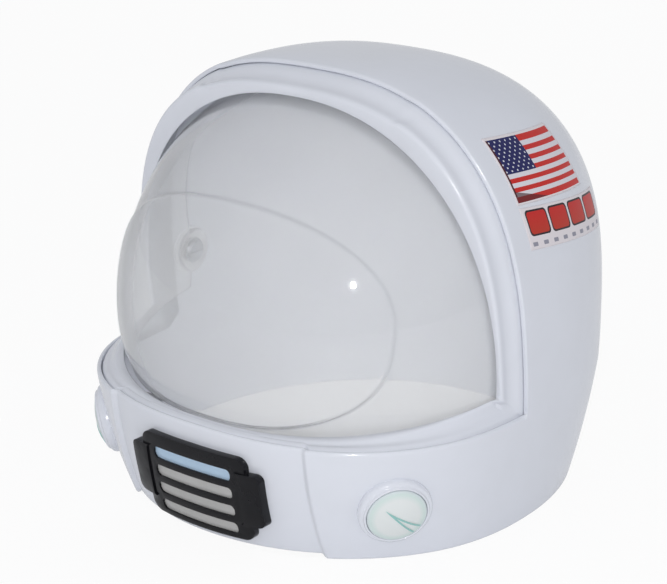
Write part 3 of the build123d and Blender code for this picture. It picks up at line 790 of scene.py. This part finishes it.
def bead_tree():
    """Nodes that set a small bead on each point of a mesh; also gives its inputs' identifiers."""
    tree = bpy.data.node_groups.new("bead_rows", "GeometryNodeTree")
    new = tree.interface.new_socket
    new(name="Points", in_out="INPUT", socket_type="NodeSocketGeometry")
    sizes = [
        new(name="Bead Radius", in_out="INPUT", socket_type="NodeSocketFloat"),
        new(name="Bead Finish", in_out="INPUT", socket_type="NodeSocketMaterial"),
    ]
    new(name="Beads", in_out="OUTPUT", socket_type="NodeSocketGeometry")
    given, result = tree.nodes.new("NodeGroupInput"), tree.nodes.new("NodeGroupOutput")
    places = tree.nodes.new("GeometryNodeMeshToPoints")
    bead = tree.nodes.new("GeometryNodeMeshIcoSphere")
    bead.inputs["Subdivisions"].default_value = 1
    copies = tree.nodes.new("GeometryNodeInstanceOnPoints")
    whole = tree.nodes.new("GeometryNodeRealizeInstances")
    finish = tree.nodes.new("GeometryNodeSetMaterial")
    link = tree.links.new
    link(given.outputs["Points"], places.inputs["Mesh"])
    link(places.outputs["Points"], copies.inputs["Points"])
    link(given.outputs["Bead Radius"], bead.inputs["Radius"])
    link(bead.outputs["Mesh"], copies.inputs["Instance"])
    link(copies.outputs["Instances"], whole.inputs["Geometry"])
    link(whole.outputs["Geometry"], finish.inputs["Geometry"])
    link(given.outputs["Bead Finish"], finish.inputs["Material"])
    link(finish.outputs["Geometry"], result.inputs["Beads"])
    return tree, [socket.identifier for socket in sizes]


def make_beads(finish):
    """The fine embossing of the sheet behind the slots, in staggered rows."""
    pitch, row_pitch, radius = 1.35, 1.35 * 0.866, 0.42
    half, low, high, inside_y = 37.5, 13.2, 62.4, -60.0
    places = [
        (x + 0.5 * pitch * (row % 2), inside_y, z)
        for row, z in enumerate(np.arange(low, high, row_pitch))
        for x in np.arange(-half, half - pitch, pitch)
    ]
    start = np.array(places)
    way = np.broadcast_to(np.array([0.0, -1.0, 0.0]), start.shape)
    points = cast(start, way, lambda p: inside_form(p, -MESH_PROUD, False))
    carrier = mesh_piece("bead_places", points, [])
    tree, names = bead_tree()
    rows = carrier.modifiers.new("beads", "NODES")
    rows.node_group = tree
    for identifier, value in zip(names, (radius * MM, finish)):
        rows[identifier] = value
    return new_object("mesh_beads", plain_mesh(carrier, "mesh_beads"))


# ---------------------------------------------------------------- materials


def new_material(name):
    """Material with an empty node tree but for its output and its Principled shader."""
    material = bpy.data.materials.new(name)
    material.use_nodes = True
    tree = material.node_tree
    tree.nodes.clear()
    output = tree.nodes.new("ShaderNodeOutputMaterial")
    shader = tree.nodes.new("ShaderNodeBsdfPrincipled")
    tree.links.new(shader.outputs["BSDF"], output.inputs["Surface"])
    return material, tree, shader


class Sums:
    """Writes sums on sockets as chains of math nodes."""

    def __init__(self, tree):
        """Sums in this node tree."""
        self.tree = tree

    def __call__(self, kind, *terms):
        """Output of one math node; each term is a number or a socket."""
        node = self.tree.nodes.new("ShaderNodeMath")
        node.operation = kind
        for socket, term in zip(node.inputs, terms):
            if isinstance(term, (int, float)):
                socket.default_value = term
            else:
                self.tree.links.new(term, socket)
        return node.outputs[0]

    def clamp(self, term, low=0.0, high=1.0):
        """The term held between two numbers."""
        return self("MINIMUM", self("MAXIMUM", term, low), high)

    def length(self, u, v):
        """Distance from u = v = 0."""
        return self("SQRT", self("ADD", self("MULTIPLY", u, u), self("MULTIPLY", v, v)))

    def block(self, u, v, half_u, half_v, radius):
        """Mask of a rounded block about u = v = 0."""
        du = self("MAXIMUM", self("SUBTRACT", self("ABSOLUTE", u), half_u - radius), 0.0)
        dv = self("MAXIMUM", self("SUBTRACT", self("ABSOLUTE", v), half_v - radius), 0.0)
        return self("LESS_THAN", self.length(du, dv), radius)

    def mix(self, share, first, second):
        """Colour between two; each is a colour or a socket."""
        node = self.tree.nodes.new("ShaderNodeMix")
        node.data_type = "RGBA"
        self.tree.links.new(share, node.inputs[0])
        for socket, term in ((node.inputs[6], first), (node.inputs[7], second)):
            if isinstance(term, tuple):
                socket.default_value = (*term, 1.0)
            else:
                self.tree.links.new(term, socket)
        return node.outputs[2]


PATCH_SCALE, PATCH_DETAIL = 31.0, 6.0
SOIL_RANGE = (0.35, 0.75)  # of the patches


def moulded_surface():
    """Node group of a moulded surface: slow waves, fine grain, and patches of gloss and soil."""
    group = bpy.data.node_groups.new("moulded_surface", "ShaderNodeTree")
    new = group.interface.new_socket
    for name, value in (
        ("Wave Size", 14.0), ("Wave Depth", 0.5), ("Grain Size", 900.0), ("Grain Depth", 0.05),
        ("Rough", 0.2), ("Rough Spread", 0.06),
    ):
        new(name=name, in_out="INPUT", socket_type="NodeSocketFloat").default_value = value
    for name in ("Height", "Roughness", "Soil"):
        new(name=name, in_out="OUTPUT", socket_type="NodeSocketFloat")
    node, link, sums = group.nodes.new, group.links.new, Sums(group)
    given, result = node("NodeGroupInput"), node("NodeGroupOutput")
    place = node("ShaderNodeTexCoord")
    waves, grain, patches = (node("ShaderNodeTexNoise") for _ in range(3))
    for noise in (waves, grain, patches):
        link(place.outputs["Object"], noise.inputs["Vector"])
    link(given.outputs["Wave Size"], waves.inputs["Scale"])
    link(given.outputs["Grain Size"], grain.inputs["Scale"])
    patches.inputs["Scale"].default_value = PATCH_SCALE
    patches.inputs["Detail"].default_value = PATCH_DETAIL
    deep = sums("MULTIPLY", waves.outputs["Fac"], given.outputs["Wave Depth"])
    fine = sums("MULTIPLY", grain.outputs["Fac"], given.outputs["Grain Depth"])
    link(sums("ADD", deep, fine), result.inputs["Height"])
    rough = (patches.outputs["Fac"], given.outputs["Rough Spread"], given.outputs["Rough"])
    link(sums("MULTIPLY_ADD", *rough), result.inputs["Roughness"])
    soil = node("ShaderNodeMapRange")
    soil.inputs["From Min"].default_value, soil.inputs["From Max"].default_value = SOIL_RANGE
    link(patches.outputs["Fac"], soil.inputs["Value"])
    link(soil.outputs["Result"], result.inputs["Soil"])
    return group


MOULDED = moulded_surface()


def place_moulded(tree, **values):
    """The shared group in a material, with its own values for the inputs named."""
    group = tree.nodes.new("ShaderNodeGroup")
    group.node_tree = MOULDED
    for name, value in values.items():
        group.inputs[name.replace("_", " ").title()].default_value = value
    return group


def give_relief(tree, shader, group, strength, distance):
    """Feeds the group's height and gloss to a shader."""
    relief = tree.nodes.new("ShaderNodeBump")
    relief.inputs["Strength"].default_value = strength
    relief.inputs["Distance"].default_value = distance
    tree.links.new(group.outputs["Height"], relief.inputs["Height"])
    tree.links.new(relief.outputs["Normal"], shader.inputs["Normal"])
    tree.links.new(group.outputs["Roughness"], shader.inputs["Roughness"])


def moulded(name, color, soiled, rough, wave=0.5, grain=0.05, bump=0.1, coat=0.0, metallic=0.0):
    """Moulded material: a colour that shifts slightly in patches, uneven gloss, waves and grain."""
    material, tree, shader = new_material(name)
    group = place_moulded(tree, wave_depth=wave, grain_depth=grain, rough=rough)
    color = Sums(tree).mix(group.outputs["Soil"], color, soiled)
    tree.links.new(color, shader.inputs["Base Color"])
    give_relief(tree, shader, group, bump, 0.002)
    shader.inputs["Metallic"].default_value = metallic
    shader.inputs["Coat Weight"].default_value = coat
    shader.inputs["Coat Roughness"].default_value = 0.05
    return material


# Painted shade: the clear sheet's colour greys where it is seen edge on, standing in for the dim
# surroundings it reflects there
CLEAR_FACING = (0.975, 0.98, 0.985)
CLEAR_EDGE_ON_SHADE = (0.50, 0.51, 0.54)
EDGE_ON_POWER = 2.6


def clear_sheet():
    """Clear plastic, greyer where seen edge on as painted shade for dim reflected surroundings;
    lets light through to what is behind it.
    """
    material, tree, shader = new_material("clear_plastic")
    weight = tree.nodes.new("ShaderNodeLayerWeight")
    weight.inputs["Blend"].default_value = 0.5
    sums = Sums(tree)
    # painted shade, stronger towards edge-on views
    depth = sums("POWER", weight.outputs["Facing"], EDGE_ON_POWER)
    color = sums.mix(depth, CLEAR_FACING, CLEAR_EDGE_ON_SHADE)
    tree.links.new(color, shader.inputs["Base Color"])
    group = place_moulded(tree, rough=0.012, rough_spread=0.045)
    tree.links.new(group.outputs["Roughness"], shader.inputs["Roughness"])
    shader.inputs["IOR"].default_value = 1.48
    shader.inputs["Transmission Weight"].default_value = 0.76
    through = tree.nodes.new("ShaderNodeBsdfTransparent")
    through.inputs["Color"].default_value = (0.98, 0.98, 0.98, 1.0)
    path = tree.nodes.new("ShaderNodeLightPath")
    join_shaders(tree, path.outputs["Is Shadow Ray"], shader, through)
    return material


def join_shaders(tree, share, first, second):
    """Shows the second shader instead of the first by this share."""
    mix = tree.nodes.new("ShaderNodeMixShader")
    tree.links.new(share, mix.inputs["Fac"])
    tree.links.new(first.outputs[0], mix.inputs[1])
    tree.links.new(second.outputs[0], mix.inputs[2])
    output = next(node for node in tree.nodes if node.type.startswith("OUTPUT"))
    tree.links.new(mix.outputs["Shader"], output.inputs["Surface"])


def print_material(name, draw):
    """Printed film: draw gives its colour from the film's UV; a slightly uneven gloss on top."""
    material, tree, shader = new_material(name)
    place = tree.nodes.new("ShaderNodeUVMap")
    place.uv_map = "UVMap"
    split = tree.nodes.new("ShaderNodeSeparateXYZ")
    tree.links.new(place.outputs["UV"], split.inputs[0])
    color = draw(Sums(tree), split.outputs[0], split.outputs[1])
    tree.links.new(color, shader.inputs["Base Color"])
    group = place_moulded(tree, wave_size=60.0, grain_size=1500.0, rough=0.3, rough_spread=0.1)
    give_relief(tree, shader, group, 0.12, 0.001)
    shader.inputs["Specular IOR Level"].default_value = 0.22
    return material


FILM_WHITE = (0.79, 0.74, 0.76)
FLAG_RED = (0.60, 0.018, 0.012)
FLAG_WHITE = (0.74, 0.72, 0.76)
FLAG_BLUE = (0.010, 0.012, 0.10)
DOT_WHITE = (0.70, 0.71, 0.78)
DEEP_RED = (0.075, 0.008, 0.012)
BAR_LOW_RED = (0.50, 0.035, 0.015)
BAR_HIGH_RED = (0.60, 0.012, 0.015)
BAR_EDGE = (0.02, 0.012, 0.016)
DASH_GREY = (0.30, 0.30, 0.36)
DIAL_PALE = (0.78, 0.81, 0.80)
DIAL_GREEN = (0.66, 0.765, 0.735)
DIAL_RIM = (0.68, 0.73, 0.76)
# Half width, half height and corner radius of the blocks, in shares of a cell
BAR_OUTLINE = (0.46, 0.31, 0.12)
BAR_FACE = (0.41, 0.265, 0.1)
DASH = (0.22, 0.05, 0.03)


def draw_flag(sums, u, v):
    """Stripes and a dark corner field with staggered dots, inside a narrow pale edge."""
    margin_u, margin_v = 0.02, 0.035
    a = sums("DIVIDE", sums("SUBTRACT", u, margin_u), 1.0 - 2.0 * margin_u)
    b = sums("DIVIDE", sums("SUBTRACT", v, margin_v), 1.0 - 2.0 * margin_v)
    # the lowest and highest of the 13 stripes are a little narrower than the others
    row = sums.clamp(sums("MULTIPLY_ADD", b, 13.6, -0.3), 0.0, 12.5)
    stripe = sums("MODULO", sums("FLOOR", row), 2.0)
    color = sums.mix(stripe, FLAG_RED, FLAG_WHITE)

    field_u, field_v = 0.43, 7.0 / 13.0
    dots_u, dots_v, dot_radius = 11.6, 9.4, 0.25
    field_foot = 1.0 - field_v
    field = sums("MULTIPLY", sums("LESS_THAN", a, field_u), sums("GREATER_THAN", b, field_foot))
    across = sums("MULTIPLY_ADD", a, dots_u / field_u, -0.3)
    down = sums("MULTIPLY_ADD", sums("SUBTRACT", b, field_foot), dots_v / field_v, -0.2)
    odd = sums("MODULO", sums("ADD", sums("FLOOR", across), sums("FLOOR", down)), 2.0)
    near = [sums("SUBTRACT", sums("FRACT", way), 0.5) for way in (across, down)]
    dot = sums("LESS_THAN", sums.length(*near), dot_radius)
    dot = sums("MULTIPLY", dot, sums("SUBTRACT", 1.0, odd))
    color = sums.mix(field, color, sums.mix(dot, FLAG_BLUE, DOT_WHITE))

    # a dark line at the front and a shadow in the lower front corner, as printed
    line = sums("MULTIPLY", sums("LESS_THAN", a, 0.022), sums("GREATER_THAN", b, 0.1))
    color = sums.mix(line, color, DEEP_RED)
    corner = sums("LESS_THAN", sums("MULTIPLY_ADD", b, 2.2, a), 0.42)
    color = sums.mix(sums("MULTIPLY", corner, 0.8), color, DEEP_RED)
    sides = [
        sums("LESS_THAN", sums("ABSOLUTE", sums("SUBTRACT", way, 0.5)), 0.5) for way in (a, b)
    ]
    return sums.mix(sums("MULTIPLY", *sides), FILM_WHITE, color)


def draw_bars(sums, u, v):
    """Four rounded red blocks with a dark outline over a row of short grey dashes."""
    bars, dashes, bar_v, dash_v = 4.0, 9.0, 0.63, 0.13
    cell = sums("MULTIPLY_ADD", u, 4.25, -0.1)
    near = sums("SUBTRACT", sums("FRACT", cell), 0.5)
    low = sums("SUBTRACT", v, bar_v)
    inside = sums("MULTIPLY", sums("GREATER_THAN", cell, 0.0), sums("LESS_THAN", cell, bars))
    outline = sums("MULTIPLY", sums.block(near, low, *BAR_OUTLINE), inside)
    core = sums("MULTIPLY", sums.block(near, low, *BAR_FACE), inside)
    fade = sums.clamp(sums("MULTIPLY_ADD", v, 1.4, -0.5))
    color = sums.mix(outline, FILM_WHITE, BAR_EDGE)
    color = sums.mix(core, color, sums.mix(fade, BAR_LOW_RED, BAR_HIGH_RED))
    dash = sums("SUBTRACT", sums("FRACT", sums("MULTIPLY", u, dashes)), 0.5)
    small = sums.block(dash, sums("SUBTRACT", v, dash_v), *DASH)
    return sums.mix(small, color, DASH_GREY)


def draw_dial(sums, u, v):
    """Pale centre, a soft green ring near the edge and a paler rim; u is the radius."""
    inner = sums.clamp(sums("MULTIPLY_ADD", u, 5.5, -3.9))
    outer = sums.clamp(sums("MULTIPLY_ADD", u, 9.0, -8.2))
    return sums.mix(outer, sums.mix(inner, DIAL_PALE, DIAL_GREEN), DIAL_RIM)


def tint_reflection_by_height(material, low, high, color, most):
    """Paints a reflection into a material's colour: tints it where Object Z rises from low to high,
    in metres.
    """
    tree = material.node_tree
    sums = Sums(tree)
    place = tree.nodes.new("ShaderNodeTexCoord")
    split = tree.nodes.new("ShaderNodeSeparateXYZ")
    tree.links.new(place.outputs["Object"], split.inputs[0])
    rise = sums("MULTIPLY_ADD", split.outputs[2], 1.0 / (high - low), -low / (high - low))
    target = tree.nodes["Principled BSDF"].inputs["Base Color"]
    before = target.links[0].from_socket
    tree.links.new(sums.mix(sums("MULTIPLY", sums.clamp(rise), most), before, color), target)


WHITE = (0.76, 0.78, 0.84)
WHITE_SOILED = (0.74, 0.76, 0.815)
GLOSS = {"rough": 0.16, "coat": 0.25, "wave": 0.8, "bump": 0.12}
white_plastic = moulded("white_gloss_plastic", WHITE, WHITE_SOILED, **GLOSS)
white_frame = moulded("white_frame_plastic", WHITE, WHITE_SOILED, **GLOSS)
plate_plastic = moulded("matt_white_plastic", (0.72, 0.73, 0.77), (0.66, 0.67, 0.70), rough=0.45)
black_plastic = moulded(
    "black_gloss_plastic", (0.006, 0.006, 0.008), (0.010, 0.010, 0.012), rough=0.12, wave=0.6
)
black_plastic.node_tree.nodes["Principled BSDF"].inputs["Specular IOR Level"].default_value = 0.2
dark_rubber = moulded(
    "dark_rubber", (0.03, 0.03, 0.032), (0.045, 0.045, 0.045), rough=0.6, grain=0.4, bump=0.3
)
pad_foam = moulded(
    "grey_foam_rubber", (0.3, 0.31, 0.33), (0.24, 0.25, 0.26), rough=0.8, grain=0.8, bump=0.5
)
METAL = {"metallic": 1.0, "grain": 0.2}
steel = moulded("plated_steel", (0.60, 0.61, 0.64), (0.50, 0.51, 0.53), rough=0.25, **METAL)
spring_steel = moulded("spring_steel", (0.42, 0.42, 0.44), (0.33, 0.33, 0.35), rough=0.35, **METAL)
teal_print = moulded("teal_print", (0.32, 0.60, 0.56), (0.28, 0.55, 0.52), rough=0.35)
dial_print = print_material("pale_dial_plastic", draw_dial)
flag_print = print_material("flag_print", draw_flag)
bar_print = print_material("bar_print", draw_bars)
silver_sheet = moulded(
    "silver_sheet", (0.56, 0.555, 0.545), (0.50, 0.495, 0.485), rough=0.35, metallic=0.25, grain=0.3
)
# painted reflection: the sheet is tinted blue behind the highest slot, where it reflects the sky
tint_reflection_by_height(silver_sheet, 0.0478, 0.0492, (0.50, 0.68, 0.86), 0.8)
clear_plastic = clear_sheet()


def paint(piece, material):
    """Gives a piece this one material."""
    piece.data.materials.clear()
    piece.data.materials.append(material)


def repaint(node, material):
    """Gives a CAD node this material."""
    piece = nodes[node]
    for slot in piece.material_slots:
        slot.material = material
    if not piece.material_slots:
        piece.data.materials.append(material)


# ---------------------------------------------------------------- the pieces

hood = make_hood()
paint(hood, white_plastic)
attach(hood, "hood")
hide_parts("hood_shell")

bezel = make_bezel()
paint(bezel, white_frame)
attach(bezel, "hood")
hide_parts("face_bezel")

visor = make_visor()
paint(visor, clear_plastic)
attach(visor, "visor")
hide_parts("visor")

FLAG_SIZES = {
    "back": 25.2, "middle": 229.63, "top": 76.0, "bottom": 84.7,
    "drop": 38.6, "lean": 8.3, "slope": 4.1,
}
BAR_SIZES = {
    "back": 42.0, "middle": 192.5, "top": 106.0, "bottom": 106.0,
    "drop": 25.5, "lean": 3.3, "slope": 6.3,
}
for name, node, slot, material, sizes in (
    ("flag_film", "flag_label", "flag_print", flag_print, FLAG_SIZES),
    ("bar_film", "side_label", "bar_print", bar_print, BAR_SIZES),
):
    film = make_film(name, **sizes)
    paint(film, material)
    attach(film, "hood")
    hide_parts(node)

grille = softened("chin_grille", "chin_plate", 0.9, 35.0)
paint(grille, black_plastic)
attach(grille, "hood")
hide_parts("chin_grille")

beads = make_beads(silver_sheet)
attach(beads, "hood")

# Sections of a dial's ring and cap: (radius, height along its axis), and each corner's rounding
RING_PROFILE = [
    (3.55, 3.0), (19.1, 3.0), (19.2, 5.4), (20.3, 5.7), (21.0, 3.7), (22.4, 3.4), (23.2, 2.3),
    (23.6, 0.0), (23.0, -3.0), (20.5, -2.2), (6.5, -2.2), (6.5, -6.0), (3.55, -6.0),
]
RING_RADII = [0.2, 0.4, 0.5, 0.6, 0.8, 0.8, 1.2, 1.0, 0.4, 0.4, 0.3, 0.3, 0.3]
CAP_EDGE_HEIGHT, CAP_RISE, CAP_DOME_RADIUS = 5.8, 4.2, 18.6
CAP_PROFILE = [
    (r, CAP_EDGE_HEIGHT + CAP_RISE * (1.0 - (r / CAP_DOME_RADIUS) ** 2))
    for r in (0.0, 3.0, 6.0, 9.0, 12.0, 15.0)
]
CAP_PROFILE += [
    (DIAL_RADIUS, 5.9), (DIAL_RADIUS, 3.3), (3.5, 3.3), (3.5, -6.8), (2.7, -6.8), (2.7, -7.8),
    (3.5, -7.8), (3.5, -9.4), (0.0, -9.4),
]
CAP_RADII = [0.0, 1.4, 1.4, 1.4, 1.4, 1.4, 0.9, 0.2, 0.3, 0.1, 0.1, 0.1, 0.1, 0.3, 0.0]
for side, sign in (("left", 1.0), ("right", -1.0)):
    ring = lathe(side + "_cheek_ring", RING_PROFILE, RING_RADII, sign, True)
    paint(ring, white_plastic)
    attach(ring, "hood")
    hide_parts(side + "_dial_ring")
    cap = lathe(side + "_dial_cap", CAP_PROFILE, CAP_RADII, sign, False)
    paint(cap, dial_print)
    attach(cap, side + "_dial")
    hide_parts(side + "_dial")

for material, kept in (
    (steel, ("pivot_screws", "cap_washers")),
    (dark_rubber, ("friction_washers",)),
    (plate_plastic, ("left_pivot_plate", "right_pivot_plate")),
    (pad_foam, ("visor_rest_pads",)),
    (silver_sheet, ("grille_mesh",)),
    (teal_print, ("left_dial_mark", "right_dial_mark")),
    (spring_steel, ("grille_nuts", "left_dial_washer", "right_dial_washer")),
    (spring_steel, ("left_dial_clip", "right_dial_clip")),
):
    for node in kept:
        repaint(node, material)

# ---------------------------------------------------------------- camera, floor and light

CAMERA_TARGET = Vector((0.0120, -0.0318, 0.1356))
CAMERA_AZIMUTH = math.radians(38.3)
CAMERA_ELEVATION = math.radians(18.9)
CAMERA_DISTANCE = 1.3488
FOCAL_PIXELS = 2070.6
PHOTO_WIDTH = 667
SENSOR = 36.0
LAMPS_AIM = (0.0, 0.0, 0.15)
# How much of the plain background shows: to the camera, and to mirrored and bent rays
FLOOR_SEEN = (0.92, 0.28)
WORLD_SEEN = (1.0, 0.25)


def aim(place, target):
    """Rotation that looks from place at target."""
    return (Vector(target) - Vector(place)).to_track_quat("-Z", "Y").to_euler()


def place_camera():
    """Camera at the photo's viewing angle."""
    away = Vector((
        math.sin(CAMERA_AZIMUTH) * math.cos(CAMERA_ELEVATION),
        -math.cos(CAMERA_AZIMUTH) * math.cos(CAMERA_ELEVATION),
        math.sin(CAMERA_ELEVATION),
    ))
    data = bpy.data.cameras.new("photo_camera")
    data.sensor_width = SENSOR
    data.lens = FOCAL_PIXELS / PHOTO_WIDTH * SENSOR
    data.clip_end = 50.0
    camera = new_object("photo_camera", data)
    camera.location = CAMERA_TARGET + away * CAMERA_DISTANCE
    camera.rotation_euler = aim(camera.location, CAMERA_TARGET)
    bpy.context.scene.camera = camera
    return camera


def lamp(name, place, size, power, color=(1.0, 1.0, 1.0)):
    """Square area lamp that shines on the helmet."""
    data = bpy.data.lights.new(name, "AREA")
    data.shape = "SQUARE"
    data.size = size
    data.energy = power
    data.color = color
    light = new_object(name, data)
    light.location = place
    light.rotation_euler = aim(place, LAMPS_AIM)
    return light


def seen_share(tree, direct, indirect):
    """How much of the plain background shows to the camera, and to mirrored and bent rays."""
    rays = tree.nodes.new("ShaderNodeLightPath").outputs
    sums = Sums(tree)
    bent = sums("MAXIMUM", rays["Is Glossy Ray"], rays["Is Transmission Ray"])
    seen = sums("MULTIPLY", rays["Is Camera Ray"], direct)
    return sums("MAXIMUM", seen, sums("MULTIPLY", bent, indirect))


def plain_floor():
    """Pale floor that keeps a soft shadow."""
    size = 6000.0
    corners = [(-size, -size, 0), (size, -size, 0), (size, size, 0), (-size, size, 0)]
    piece = mesh_piece("studio_floor", corners, [(0, 1, 2, 3)], flat=True)
    material, tree, shader = new_material("pale_floor")
    shader.inputs["Base Color"].default_value = (0.93, 0.93, 0.93, 1.0)
    shader.inputs["Roughness"].default_value = 0.8
    glow = tree.nodes.new("ShaderNodeEmission")
    glow.inputs["Color"].default_value = (1.0, 1.0, 1.0, 1.0)
    join_shaders(tree, seen_share(tree, *FLOOR_SEEN), shader, glow)
    paint(piece, material)


def studio_world():
    """Even pale surroundings, white behind the object."""
    world = bpy.data.worlds.new("studio")
    bpy.context.scene.world = world
    world.use_nodes = True
    tree = world.node_tree
    tree.nodes.clear()
    tree.nodes.new("ShaderNodeOutputWorld")
    around, seen = (tree.nodes.new("ShaderNodeBackground") for _ in range(2))
    around.inputs["Color"].default_value = (0.93, 0.95, 1.0, 1.0)
    around.inputs["Strength"].default_value = 0.52
    seen.inputs["Color"].default_value = (1.0, 1.0, 1.0, 1.0)
    seen.inputs["Strength"].default_value = 1.0
    join_shaders(tree, seen_share(tree, *WORLD_SEEN), around, seen)


camera = place_camera()
for name, place, size, power, color in (
    ("key_softbox", (-0.9, -2.2, 1.9), 1.8, 5.0, (1.0, 0.99, 0.97)),
    ("side_softbox", (2.4, 0.3, 1.4), 1.8, 3.0, (0.97, 0.98, 1.0)),
    ("top_softbox", (0.0, 0.6, 2.6), 2.2, 2.0, (1.0, 1.0, 1.0)),
    ("rear_softbox", (-1.2, 2.6, 1.2), 1.8, 7.0, (1.0, 1.0, 1.0)),
):
    lamp(name, place, size, power, color).visible_glossy = False
lamp("camera_flash", camera.location + Vector((-0.02, -0.01, 0.06)), 0.05, 5.5)
plain_floor()
studio_world()
bpy.context.scene.view_settings.view_transform = "Standard"
